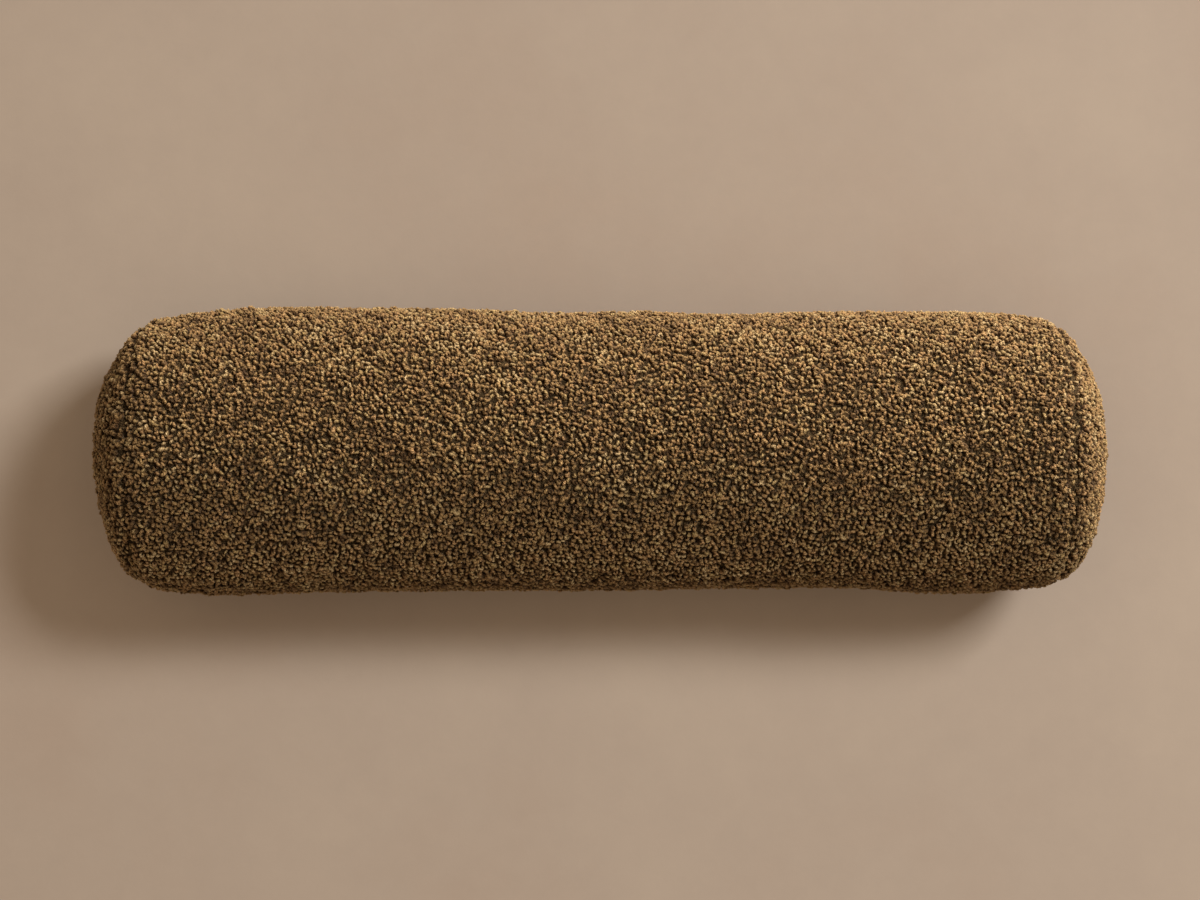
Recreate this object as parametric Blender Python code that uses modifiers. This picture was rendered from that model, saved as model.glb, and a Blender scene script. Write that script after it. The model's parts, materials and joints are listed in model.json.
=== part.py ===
"""Bolster pillow: a zipped boucle cover over a cased insert of foam and fibre wadding.

The pillow lies along X with its underside on z = 0 and its middle over the origin.
Metres, +Z up. Every layer of the pillow is the same turned form at its own depth below the pile.
"""

import math

import bpy
from mathutils import Matrix

# Form of the pillow
LENGTH = 0.812  # over the crowns of both end panels
RADIUS = 0.115  # of the pile's outer surface along the middle
SETTLE = 0.007  # how far its own weight flattens the underside
AXIS_HEIGHT = RADIUS - SETTLE
SEAM_X = 0.370  # from the middle to the seam round each end panel
SEAM_RADIUS = 0.1085
TAPER_START = 0.280  # where the tube begins to draw in towards the seam
TAPER_POWER = 2.6
CROWN_POWER = 1.6
SEGMENTS = 36
TAPER_STEPS = 4
CROWN_STEPS = 4
CONE_REACH = 0.2  # of the cones that part the panels, past the crown of either end

# Layers, as depths below the pile's outer surface
COVER_THICKNESS = 0.0060  # ground cloth and its looped pile
CASING_THICKNESS = 0.0010
WRAP_THICKNESS = 0.0120
GAP = 0.0004
CASING_DEPTH = COVER_THICKNESS + GAP
WRAP_DEPTH = CASING_DEPTH + CASING_THICKNESS + GAP
CORE_DEPTH = WRAP_DEPTH + WRAP_THICKNESS + GAP
CORE_HALF_LENGTH = 0.362

# Zip, measured in its own frame: x along it, y across it, z out from the pillow's axis
ZIP_BELOW_HORIZONTAL = math.radians(45)
ZIP_CLOSED_END = 0.2800  # outer face of the stops where the slider rests when closed
ZIP_OPEN_END = -0.2660  # outer face of the stop at the other end
SLIT_HALF_LENGTH = 0.2830
SLIT_HALF_WIDTH = 0.0060
CASING_FLAT_Z = 0.1056  # the insert is pressed flat behind the zip
TAPE_HALF_LENGTH = 0.2900
TAPE_EDGE_Y = 0.00065  # each tape stops this far from the zip's middle
TAPE_OUTER_Y = 0.0120
TAPE_BACK_Z = 0.1070
TAPE_THICKNESS = 0.0005
COIL_WIDTH = 0.00245
COIL_BACK_Z = 0.1077
COIL_THICKNESS = 0.0018
STOP_LENGTH = 0.0035
STOP_TOP_Z = 0.1097

# Slider and pull, measured from the slider's middle and out from the pillow's axis
SLIDER_HALF_LENGTH = 0.0045
SLIDER_TAIL_Y = 0.0042
SLIDER_SHOULDER_Y = 0.0046
SLIDER_SHOULDER_X = 0.0016
SLIDER_NOSE_Y = 0.0024
SLIDER_BACK_Z = 0.1059
SLIDER_BACK_THICKNESS = 0.0008
SLIDER_FACE_Z = 0.1098
SLIDER_FACE_THICKNESS = 0.0010
FLANGE_THICKNESS = 0.0008
FLANGE_FOOT_Z = 0.1079
POST_START_X = 0.0008
POST_END_X = 0.0038
POST_WIDTH = 0.0007
BAIL_HALF_LENGTH = 0.0030
BAIL_WIDTH = 0.0012
BAIL_THICKNESS = 0.0010
BAIL_TOP_Z = 0.1136
PULL_AXIS_Z = 0.1117
PULL_THICKNESS = 0.0011
PULL_LENGTH = 0.0240
PULL_WIDTH = 0.0050
PULL_TIP_STEPS = 4
PULL_BAR_SIDES = 12
PULL_WINDOW_LENGTH = 0.0042
PULL_WINDOW_WIDTH = 0.0026
CLOSED_X = ZIP_CLOSED_END - STOP_LENGTH - GAP - SLIDER_HALF_LENGTH

# Care label, in the zip's frame
LABEL_LENGTH = 0.040
LABEL_WIDTH = 0.009
LABEL_THICKNESS = 0.0003
LABEL_X = 0.200
LABEL_Y = -0.0220
LABEL_Z = 0.1059

PARTS = "bolster_pillow"
CUTTERS = "cutters"
BIG = 0.6  # past every side of the pillow
MERGE_DISTANCE = 0.00001
SMOOTH_ANGLE = math.radians(35)


def clear_scene():
    for item in list(bpy.data.objects):
        bpy.data.objects.remove(item, do_unlink=True)
    for group in list(bpy.data.collections):
        bpy.data.collections.remove(group)
    for name in (PARTS, CUTTERS):
        bpy.context.scene.collection.children.link(bpy.data.collections.new(name))


def material(name, colour, roughness, metallic=0.0):
    made = bpy.data.materials.new(name)
    made.use_nodes = True
    shader = made.node_tree.nodes["Principled BSDF"]
    shader.inputs["Base Color"].default_value = (*colour, 1.0)
    shader.inputs["Roughness"].default_value = roughness
    shader.inputs["Metallic"].default_value = metallic
    return made


def boucle():
    return material("boucle", (0.215, 0.142, 0.064), 0.95)


def casing_cotton():
    return material("casing_cotton", (0.72, 0.69, 0.62), 0.9)


def wadding():
    return material("wadding", (0.86, 0.86, 0.84), 1.0)


def foam():
    return material("foam", (0.80, 0.74, 0.52), 0.9)


def zip_tape_cloth():
    return material("zip_tape_cloth", (0.120, 0.082, 0.040), 0.85)


def zip_nylon():
    return material("zip_nylon", (0.100, 0.068, 0.034), 0.4)


def zip_metal():
    return material("zip_metal", (0.46, 0.34, 0.17), 0.35, 1.0)


def label_satin():
    return material("label_satin", (0.82, 0.80, 0.75), 0.5)


def place(item, collection):
    for group in list(item.users_collection):
        group.objects.unlink(item)
    bpy.data.collections[collection].objects.link(item)
    item.hide_render = collection == CUTTERS
    item.display_type = "WIRE" if item.hide_render else "TEXTURED"


def finish_part(item, name, look, smooth_angle=None):
    item.name = name
    item.data.materials.clear()
    item.data.materials.append(look)
    if smooth_angle is not None:
        item.data.shade_smooth()
        item.data.set_sharp_from_angle(angle=smooth_angle)
    place(item, PARTS)
    return item


def box(name, low, high, frame=None):
    """A box between two corners, in the world or in the frame of an empty."""
    bpy.ops.mesh.primitive_cube_add(size=1.0, location=(0, 0, 0))
    item = bpy.context.object
    size = [b - a for a, b in zip(low, high)]
    middle = [(a + b) / 2 for a, b in zip(low, high)]
    item.data.transform(Matrix.Translation(middle) @ Matrix.Diagonal((*size, 1.0)))
    item.name = name
    item.parent = frame
    place(item, CUTTERS)
    return item


def combine(item, other, operation):
    step = item.modifiers.new(f"{operation.lower()}_{other.name}", "BOOLEAN")
    step.operation = operation
    step.solver = "EXACT"
    step.object = other


def bake(item):
    """Gives the object the mesh its modifiers make, with no modifiers left."""
    graph = bpy.context.evaluated_depsgraph_get()
    mesh = bpy.data.meshes.new_from_object(item.evaluated_get(graph))
    item.modifiers.clear()
    item.data = mesh
    return item


# The pillow's layers


def seam_at(depth):
    """Where the end seam lies, as x and radius, at a depth below the pile."""
    return SEAM_X - depth, SEAM_RADIUS - depth


def half_profile(depth):
    """Points (radius, x) from the crown of one end, over the seam, to where the tube runs straight."""
    seam_x, seam_radius = seam_at(depth)
    crown = LENGTH / 2 - SEAM_X
    points = []
    for i in range(CROWN_STEPS + 1):
        turn = math.pi / 2 * (1 - i / CROWN_STEPS)
        points.append((seam_radius * math.cos(turn), seam_x + crown * math.sin(turn) ** CROWN_POWER))
    points[0] = (0.0, seam_x + crown)
    points[-1] = (seam_radius, seam_x)
    for i in range(1, TAPER_STEPS + 1):
        along = 1 - i / TAPER_STEPS
        drawn_in = (RADIUS - SEAM_RADIUS) * along**TAPER_POWER
        points.append((RADIUS - depth - drawn_in, TAPER_START + (seam_x - TAPER_START) * along))
    return points


def turned(name, points):
    """A body turned about the pillow's axis from points (radius, x), high x first."""
    mesh = bpy.data.meshes.new(name)
    vertices = [(radius, 0.0, x) for radius, x in points]
    mesh.from_pydata(vertices, [(i, i + 1) for i in range(len(points) - 1)], [])
    item = bpy.data.objects.new(name, mesh)
    item.rotation_euler = (0.0, math.pi / 2, 0.0)
    item.location = (0.0, 0.0, AXIS_HEIGHT)
    bpy.context.scene.collection.objects.link(item)
    screw = item.modifiers.new("turn", "SCREW")
    screw.axis = "Z"
    screw.steps = SEGMENTS
    screw.render_steps = SEGMENTS
    screw.use_merge_vertices = True
    screw.merge_threshold = MERGE_DISTANCE
    place(item, CUTTERS)
    return item


def layer(name, depth, frame, behind_zip=True):
    """The whole pillow at a depth below the pile, flat on its underside and, inside, behind the zip."""
    half = half_profile(depth)
    whole = half + [(radius, -x) for radius, x in reversed(half)]
    item = turned(name, whole)
    floor = box(f"{name}_floor", (-BIG, -BIG, -BIG), (BIG, BIG, depth))
    combine(item, floor, "DIFFERENCE")
    if behind_zip:
        flat = CASING_FLAT_Z - (depth - CASING_DEPTH)
        behind = box(f"{name}_behind_zip", (-BIG, -BIG, flat), (BIG, BIG, BIG), frame)
        combine(item, behind, "DIFFERENCE")
    return item


def end_cone(name, side, widen):
    """A cone along the end seam at every depth, open towards one end and a little wider or narrower."""
    apex = SEAM_X - SEAM_RADIUS - widen * math.sqrt(2)
    points = [(0.0, apex + CONE_REACH), (CONE_REACH, apex + CONE_REACH), (0.0, apex)]
    item = turned(name, points)
    if side < 0:
        item.rotation_euler = (0.0, -math.pi / 2, 0.0)
    return item


def cloth_skin(prefix, depth, thickness, frame, look, behind_zip):
    """A sewn skin of three panels: a tube and two round ends, each a solid of its own."""
    made = []
    inner = layer(f"{prefix}_inner", depth + thickness, frame, behind_zip)
    for side, ending in ((0, "tube"), (-1, "end_left"), (1, "end_right")):
        item = layer(f"{prefix}_{ending}_solid", depth, frame, behind_zip)
        combine(item, inner, "DIFFERENCE")
        if side:
            combine(item, end_cone(f"{prefix}_{ending}_cone", side, -GAP / 2), "INTERSECT")
        else:
            for end in (-1, 1):
                combine(item, end_cone(f"{prefix}_tube_cone_{end}", end, GAP / 2), "DIFFERENCE")
        made.append(item)
    names = (f"{prefix}_tube", f"{prefix}_end_left", f"{prefix}_end_right")
    return [finish_part(item, name, look, SMOOTH_ANGLE) for item, name in zip(made, names)]


def make_cover(frame):
    tube = cloth_skin("cover", 0.0, COVER_THICKNESS, frame, boucle(), False)[0]
    low = (-SLIT_HALF_LENGTH, -SLIT_HALF_WIDTH, 0.0)
    high = (SLIT_HALF_LENGTH, SLIT_HALF_WIDTH, BIG)
    combine(tube, box("zip_slit", low, high, frame), "DIFFERENCE")


def make_insert(frame):
    cloth_skin("insert", CASING_DEPTH, CASING_THICKNESS, frame, casing_cotton(), True)


def make_filling(frame):
    wool = wadding()
    middle = box("core_span", (-CORE_HALF_LENGTH, -BIG, -BIG), (CORE_HALF_LENGTH, BIG, BIG))
    wrap = layer("wrap_solid", WRAP_DEPTH, frame)
    combine(wrap, middle, "INTERSECT")
    combine(wrap, layer("wrap_inner", WRAP_DEPTH + WRAP_THICKNESS, frame), "DIFFERENCE")
    finish_part(wrap, "fibre_wrap", wool, SMOOTH_ANGLE)
    core = layer("core_solid", CORE_DEPTH, frame)
    combine(core, middle, "INTERSECT")
    finish_part(core, "foam_core", foam(), SMOOTH_ANGLE)
    for side, ending in ((-1, "left"), (1, "right")):
        pad = layer(f"pad_{ending}_solid", WRAP_DEPTH, frame)
        start = CORE_HALF_LENGTH + GAP
        low, high = sorted((side * start, side * BIG))
        combine(pad, box(f"pad_{ending}_span", (low, -BIG, -BIG), (high, BIG, BIG)), "INTERSECT")
        finish_part(pad, f"fibre_pad_{ending}", wool, SMOOTH_ANGLE)


# The zip


def make_zip_frame():
    """An empty on the pillow's axis whose z points out through the middle of the zip."""
    frame = bpy.data.objects.new("zip_frame", None)
    frame.location = (0.0, 0.0, AXIS_HEIGHT)
    frame.rotation_euler = (-math.pi / 2 - ZIP_BELOW_HORIZONTAL, 0.0, 0.0)
    bpy.data.collections[PARTS].objects.link(frame)
    return frame


def across(side, near, far):
    """The lower and higher y of a span on one side of the zip's middle."""
    return sorted((side * near, side * far))


def make_tapes(frame):
    cloth = zip_tape_cloth()
    for side, ending in ((-1, "upper"), (1, "lower")):
        near, far = across(side, TAPE_EDGE_Y, TAPE_OUTER_Y)
        low = (-TAPE_HALF_LENGTH, near, TAPE_BACK_Z)
        high = (TAPE_HALF_LENGTH, far, TAPE_BACK_Z + TAPE_THICKNESS)
        finish_part(box("tape", low, high, frame), f"zip_tape_{ending}", cloth)


def make_coils(frame):
    nylon = zip_nylon()
    start = ZIP_OPEN_END + STOP_LENGTH + GAP
    end = ZIP_CLOSED_END - STOP_LENGTH - GAP
    for side, ending in ((-1, "upper"), (1, "lower")):
        near, far = across(side, TAPE_EDGE_Y, TAPE_EDGE_Y + COIL_WIDTH)
        low = (start, near, COIL_BACK_Z)
        high = (end, far, COIL_BACK_Z + COIL_THICKNESS)
        finish_part(box("coil", low, high, frame), f"zip_coil_{ending}", nylon)


def make_top_stops(frame):
    """A clip round the inner edge of each tape at the end where the slider rests."""
    metal = zip_metal()
    start = ZIP_CLOSED_END - STOP_LENGTH
    web = GAP / 4
    for side, ending in ((-1, "upper"), (1, "lower")):
        near, far = across(side, web, TAPE_EDGE_Y + COIL_WIDTH)
        clip = box("clip", (start, near, SLIDER_BACK_Z), (ZIP_CLOSED_END, far, STOP_TOP_Z), frame)
        near, far = across(side, TAPE_EDGE_Y - GAP / 2, TAPE_OUTER_Y)
        low = (start - GAP, near, TAPE_BACK_Z - GAP)
        high = (ZIP_CLOSED_END + GAP, far, TAPE_BACK_Z + TAPE_THICKNESS + GAP)
        combine(clip, box(f"clip_throat_{ending}", low, high, frame), "DIFFERENCE")
        finish_part(clip, f"zip_stop_top_{ending}", metal)


def make_bottom_stop(frame):
    """One clip that holds both tapes together at the far end."""
    reach = TAPE_EDGE_Y + COIL_WIDTH
    end = ZIP_OPEN_END + STOP_LENGTH
    clip = box("clip", (ZIP_OPEN_END, -reach, SLIDER_BACK_Z), (end, reach, STOP_TOP_Z), frame)
    for side in (-1, 1):
        near, far = across(side, TAPE_EDGE_Y - GAP / 2, TAPE_OUTER_Y)
        low = (ZIP_OPEN_END - GAP, near, TAPE_BACK_Z - GAP)
        high = (end + GAP, far, TAPE_BACK_Z + TAPE_THICKNESS + GAP)
        combine(clip, box(f"clip_throat_bottom_{side}", low, high, frame), "DIFFERENCE")
    finish_part(clip, "zip_stop_bottom", zip_metal())


def slider_outline():
    """Half the plate's outline, from the tail to the nose."""
    return [
        (-SLIDER_HALF_LENGTH, SLIDER_TAIL_Y),
        (-SLIDER_SHOULDER_X, SLIDER_TAIL_Y),
        (SLIDER_SHOULDER_X, SLIDER_SHOULDER_Y),
        (SLIDER_HALF_LENGTH, SLIDER_NOSE_Y),
    ]


def plate(name, half_outline, low, thickness, frame):
    """A flat plate from a symmetric outline, standing on z = low in the frame."""
    points = half_outline + [(x, -y) for x, y in reversed(half_outline)]
    curve = bpy.data.curves.new(name, "CURVE")
    curve.dimensions = "2D"
    curve.fill_mode = "BOTH"
    curve.extrude = thickness / 2
    spline = curve.splines.new("POLY")
    spline.points.add(len(points) - 1)
    for point, (x, y) in zip(spline.points, points):
        point.co = (x, y, 0.0, 1.0)
    spline.use_cyclic_u = True
    outline = bpy.data.objects.new(name, curve)
    bpy.context.scene.collection.objects.link(outline)
    graph = bpy.context.evaluated_depsgraph_get()
    mesh = bpy.data.meshes.new_from_object(outline.evaluated_get(graph))
    bpy.data.objects.remove(outline)
    mesh.transform(Matrix.Translation((0.0, 0.0, low + thickness / 2)))
    item = bpy.data.objects.new(name, mesh)
    item.parent = frame
    bpy.context.scene.collection.objects.link(item)
    weld = item.modifiers.new("weld", "WELD")
    weld.merge_threshold = MERGE_DISTANCE
    place(item, CUTTERS)
    return bake(item)


def make_slider(frame):
    """Back plate and face plate joined by the post, with side flanges and the bail."""
    mover = bpy.data.objects.new("slider_frame", None)
    mover.parent = frame
    mover.location = (CLOSED_X, 0.0, 0.0)
    bpy.data.collections[PARTS].objects.link(mover)
    outline = slider_outline()
    body = plate("slider", outline, SLIDER_BACK_Z, SLIDER_BACK_THICKNESS, mover)
    face = plate("slider_face", outline, SLIDER_FACE_Z, SLIDER_FACE_THICKNESS, mover)
    sunk = SLIDER_BACK_THICKNESS / 4
    post_low = (POST_START_X, -POST_WIDTH / 2, SLIDER_BACK_Z + SLIDER_BACK_THICKNESS - sunk)
    post_high = (POST_END_X, POST_WIDTH / 2, SLIDER_FACE_Z + sunk)
    shapes = [face, box("slider_post", post_low, post_high, mover)]
    for side in (-1, 1):
        near, far = across(side, SLIDER_TAIL_Y - FLANGE_THICKNESS, SLIDER_TAIL_Y)
        low = (-SLIDER_HALF_LENGTH, near, FLANGE_FOOT_Z)
        high = (SLIDER_SHOULDER_X, far, SLIDER_FACE_Z + sunk)
        shapes.append(box(f"slider_flange_{side}", low, high, mover))
    face_top = SLIDER_FACE_Z + SLIDER_FACE_THICKNESS
    low = (-BAIL_HALF_LENGTH, -BAIL_WIDTH / 2, face_top - sunk)
    bail = box("slider_bail", low, (BAIL_HALF_LENGTH, BAIL_WIDTH / 2, BAIL_TOP_Z), mover)
    inside = BAIL_HALF_LENGTH - BAIL_THICKNESS
    low = (-inside, -BAIL_WIDTH, face_top - BAIL_THICKNESS)
    eye = box("slider_bail_eye", low, (inside, BAIL_WIDTH, BAIL_TOP_Z - BAIL_THICKNESS), mover)
    combine(bail, eye, "DIFFERENCE")
    shapes.append(bail)
    for shape in shapes:
        combine(body, shape, "UNION")
    finish_part(body, "zip_slider", zip_metal())
    return mover


def pull_outline():
    """Half the tab's outline, from its rounded tip to just short of the hinge's axis."""
    round_radius = PULL_WIDTH / 2
    round_x = -PULL_LENGTH + round_radius
    points = []
    for i in range(PULL_TIP_STEPS):
        turn = math.pi / 2 * (i + 0.5) / PULL_TIP_STEPS
        points.append((round_x - round_radius * math.cos(turn), round_radius * math.sin(turn)))
    return points + [(round_x, round_radius), (-PULL_THICKNESS / 5, round_radius)]


def make_pull(mover):
    """A tab whose end bar turns under the slider's bail; its origin is on that bar's axis."""
    hinge = bpy.data.objects.new("pull_hinge", None)
    hinge.parent = mover
    hinge.location = (0.0, 0.0, PULL_AXIS_Z)
    bpy.data.collections[PARTS].objects.link(hinge)
    bar = PULL_THICKNESS / 2
    outline = pull_outline()
    tab = plate("pull", outline, -bar, PULL_THICKNESS, hinge)
    low = (-PULL_WINDOW_LENGTH, -PULL_WINDOW_WIDTH / 2, -PULL_THICKNESS)
    high = (PULL_WINDOW_LENGTH, PULL_WINDOW_WIDTH / 2, PULL_THICKNESS)
    window = box("pull_window", low, high, hinge)
    combine(tab, window, "DIFFERENCE")
    bpy.ops.mesh.primitive_cylinder_add(
        vertices=PULL_BAR_SIDES, radius=bar, depth=PULL_WIDTH, location=(0, 0, 0)
    )
    pin = bpy.context.object
    pin.name = "pull_bar"
    pin.data.transform(Matrix.Rotation(math.pi / 2, 4, "X"))
    pin.parent = hinge
    place(pin, CUTTERS)
    combine(tab, pin, "UNION")
    finish_part(tab, "zip_pull", zip_metal())


def make_label(frame):
    low = (LABEL_X, LABEL_Y, LABEL_Z)
    high = (LABEL_X + LABEL_LENGTH, LABEL_Y + LABEL_WIDTH, LABEL_Z + LABEL_THICKNESS)
    finish_part(box("label", low, high, frame), "care_label", label_satin())


def main():
    clear_scene()
    frame = make_zip_frame()
    make_cover(frame)
    make_tapes(frame)
    make_coils(frame)
    make_top_stops(frame)
    make_bottom_stop(frame)
    make_pull(make_slider(frame))
    make_label(frame)
    make_insert(frame)
    make_filling(frame)


main()
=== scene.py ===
"""Looks of the bolster pillow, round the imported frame: cloth, looped pile, end seams, zip and filling."""

import json
import math
from contextlib import contextmanager

import bmesh
import bpy
import numpy as np
from mathutils import Matrix, Vector
from mathutils.bvhtree import BVHTree


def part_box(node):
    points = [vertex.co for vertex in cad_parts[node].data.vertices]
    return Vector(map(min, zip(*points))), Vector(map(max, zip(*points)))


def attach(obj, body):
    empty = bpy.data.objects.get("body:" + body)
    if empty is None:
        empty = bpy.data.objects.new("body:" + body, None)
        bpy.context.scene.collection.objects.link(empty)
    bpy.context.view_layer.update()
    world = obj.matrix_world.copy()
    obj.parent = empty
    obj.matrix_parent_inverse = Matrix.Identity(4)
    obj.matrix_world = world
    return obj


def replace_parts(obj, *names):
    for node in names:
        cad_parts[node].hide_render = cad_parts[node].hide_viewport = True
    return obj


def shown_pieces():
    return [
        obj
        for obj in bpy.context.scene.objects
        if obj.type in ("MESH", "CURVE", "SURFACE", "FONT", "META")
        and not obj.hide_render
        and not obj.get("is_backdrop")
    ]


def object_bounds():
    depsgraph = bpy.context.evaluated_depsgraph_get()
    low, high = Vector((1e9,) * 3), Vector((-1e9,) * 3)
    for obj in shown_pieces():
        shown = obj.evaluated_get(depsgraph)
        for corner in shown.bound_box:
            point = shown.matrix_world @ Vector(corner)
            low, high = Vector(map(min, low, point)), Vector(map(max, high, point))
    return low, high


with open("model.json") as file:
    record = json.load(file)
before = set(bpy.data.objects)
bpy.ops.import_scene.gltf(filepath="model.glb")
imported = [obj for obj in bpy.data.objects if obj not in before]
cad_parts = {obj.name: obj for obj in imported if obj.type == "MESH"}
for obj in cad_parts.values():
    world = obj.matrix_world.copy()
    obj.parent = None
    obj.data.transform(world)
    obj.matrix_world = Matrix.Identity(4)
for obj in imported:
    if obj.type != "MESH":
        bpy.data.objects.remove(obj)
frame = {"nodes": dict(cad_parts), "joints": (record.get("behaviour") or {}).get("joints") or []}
CAD_LOW, CAD_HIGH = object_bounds()

MM = 0.001
SEED = 11
ENDS = ((-1, "left"), (1, "right"))

# The pillow's form, from the frame

TUBE_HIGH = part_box("cover_tube")[1]
RADIUS = TUBE_HIGH.y
AXIS_HEIGHT = TUBE_HIGH.z - RADIUS
SEAM_X = 370 * MM
SEAM_RADIUS = 108.5 * MM
CROWN = CAD_HIGH.x - SEAM_X
TAPER_START = 280 * MM
TAPER_POWER = 2.6
CROWN_POWER = 1.6

# Depths below the tips of the pile

GROUND_DEPTH = 5.2 * MM
GROUND_THICKNESS = 0.7 * MM
CASING_DEPTH = 6.8 * MM
CASING_THICKNESS = 0.6 * MM
WRAP_DEPTH = 7.9 * MM
WRAP_INNER_DEPTH = 19.7 * MM
CORE_DEPTH = 20.3 * MM
CORE_HALF_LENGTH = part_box("foam_core")[1].x
PAD_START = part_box("fibre_pad_right")[0].x
GROUND_FLOOR = 2.6 * MM  # height of the ground cloth where the pillow rests on its underside

# The zip's own frame: x along it, y across it, z out from the pillow's axis through its middle

PULL_JOINT = next(j for j in frame["joints"] if j["name"] == "zip_pull_hinge")
PULL_POINT = Vector(PULL_JOINT["pos_m"])
ZIP_OUT = Vector((0.0, PULL_POINT.y, PULL_POINT.z - AXIS_HEIGHT)).normalized()
ZIP_ACROSS = Vector(PULL_JOINT["axis"]).normalized()
ZIP_FRAME = np.array([(1.0, 0.0, 0.0), tuple(ZIP_ACROSS), tuple(ZIP_OUT)])
ZIP_TURN = math.atan2(ZIP_OUT.y, ZIP_OUT.z)
SLIT_HALF_LENGTH = 285.5 * MM
SLIT_EDGE = 6.4 * MM
TAPE_TOP = 107.5 * MM


def rng_for(name):
    """A random generator for one job, so that a change to one job leaves the others as they were."""
    return np.random.default_rng([SEED, *name.encode()])


def to_zip(points):
    """Points in the row frame as points in the zip's frame."""
    return (points - (0.0, 0.0, AXIS_HEIGHT)) @ ZIP_FRAME.T


def from_zip(points):
    return np.asarray(points) @ ZIP_FRAME + (0.0, 0.0, AXIS_HEIGHT)


# Meshes

# the export bakes each material over a layer of this name
UV_LAYER = "OFBake"  # the name of the (u, v) layer that each piece carries
UV_MARGIN = 0.01


def mesh_from_arrays(name, points, quads, uv=None):
    """A smooth mesh from an array of points, an array of quads, and an optional (u, v) for each corner."""
    mesh = bpy.data.meshes.new(name)
    mesh.vertices.add(len(points))
    mesh.vertices.foreach_set("co", np.ascontiguousarray(points, np.float32).ravel())
    mesh.loops.add(quads.size)
    mesh.loops.foreach_set("vertex_index", np.ascontiguousarray(quads, np.int32).ravel())
    mesh.polygons.add(len(quads))
    mesh.polygons.foreach_set("loop_start", np.arange(0, quads.size, 4, dtype=np.int32))
    mesh.polygons.foreach_set("use_smooth", np.ones(len(quads), bool))
    mesh.update(calc_edges=True)
    if uv is not None:
        layer = mesh.uv_layers.new(name=UV_LAYER)
        layer.uv.foreach_set("vector", np.ascontiguousarray(uv, np.float32).ravel())
    return mesh


def add_piece(name, mesh, material, body="pillow"):
    item = bpy.data.objects.new(name, mesh)
    bpy.context.scene.collection.objects.link(item)
    if material:
        mesh.materials.clear()
        mesh.materials.append(material)
    if body:
        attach(item, body)
    return item


def float_attribute(mesh, name, values):
    made = mesh.attributes.new(name, "FLOAT", "POINT")
    made.data.foreach_set("value", np.ascontiguousarray(values, np.float32))


def grid_quads(rows, columns):
    """Quads of a grid of points, row after row, each row a closed ring."""
    i = np.arange(rows - 1)[:, None] * columns
    j = np.arange(columns)[None, :]
    k = (j + 1) % columns
    return np.stack([i + j, i + columns + j, i + columns + k, i + k], -1).reshape(-1, 4)


def grid_uv(rows, columns):
    """Corner (u, v) for grid_quads."""
    i, j = np.meshgrid(np.arange(rows - 1), np.arange(columns), indexing="ij")
    corners = [(i, j), (i + 1, j), (i + 1, j + 1), (i, j + 1)]
    uv = np.stack([np.stack([row / (rows - 1), column / columns], -1) for row, column in corners], 2)
    return uv.reshape(-1, 2) * (1 - 2 * UV_MARGIN) + UV_MARGIN


@contextmanager
def edited(mesh):
    """The mesh as a bmesh to edit, written back at the end."""
    shape = bmesh.new()
    shape.from_mesh(mesh)
    yield shape
    shape.to_mesh(mesh)
    shape.free()


def tidy(mesh, distance=0.01 * MM):
    """Joins points that lie on each other and drops what that leaves without area."""
    with edited(mesh) as shape:
        bmesh.ops.remove_doubles(shape, verts=shape.verts, dist=distance)
        bmesh.ops.dissolve_degenerate(shape, edges=shape.edges, dist=distance)


def apply_modifiers(item):
    graph = bpy.context.evaluated_depsgraph_get()
    shown = item.evaluated_get(graph)
    made = bpy.data.meshes.new_from_object(shown, preserve_all_data_layers=True, depsgraph=graph)
    item.modifiers.clear()
    old = item.data
    item.data = made
    bpy.data.meshes.remove(old)


# Surfaces of the pillow. Stations run from -2 at the middle of the left end, over -1 and 1 at the end seams,
# to 2 at the middle of the right end.

PROFILE_POINTS = 300  # on half of the tube, and on each end
SLOPE_STEP = 0.004  # in stations
FLOOR_SOFTNESS = 1.2 * MM


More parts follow.
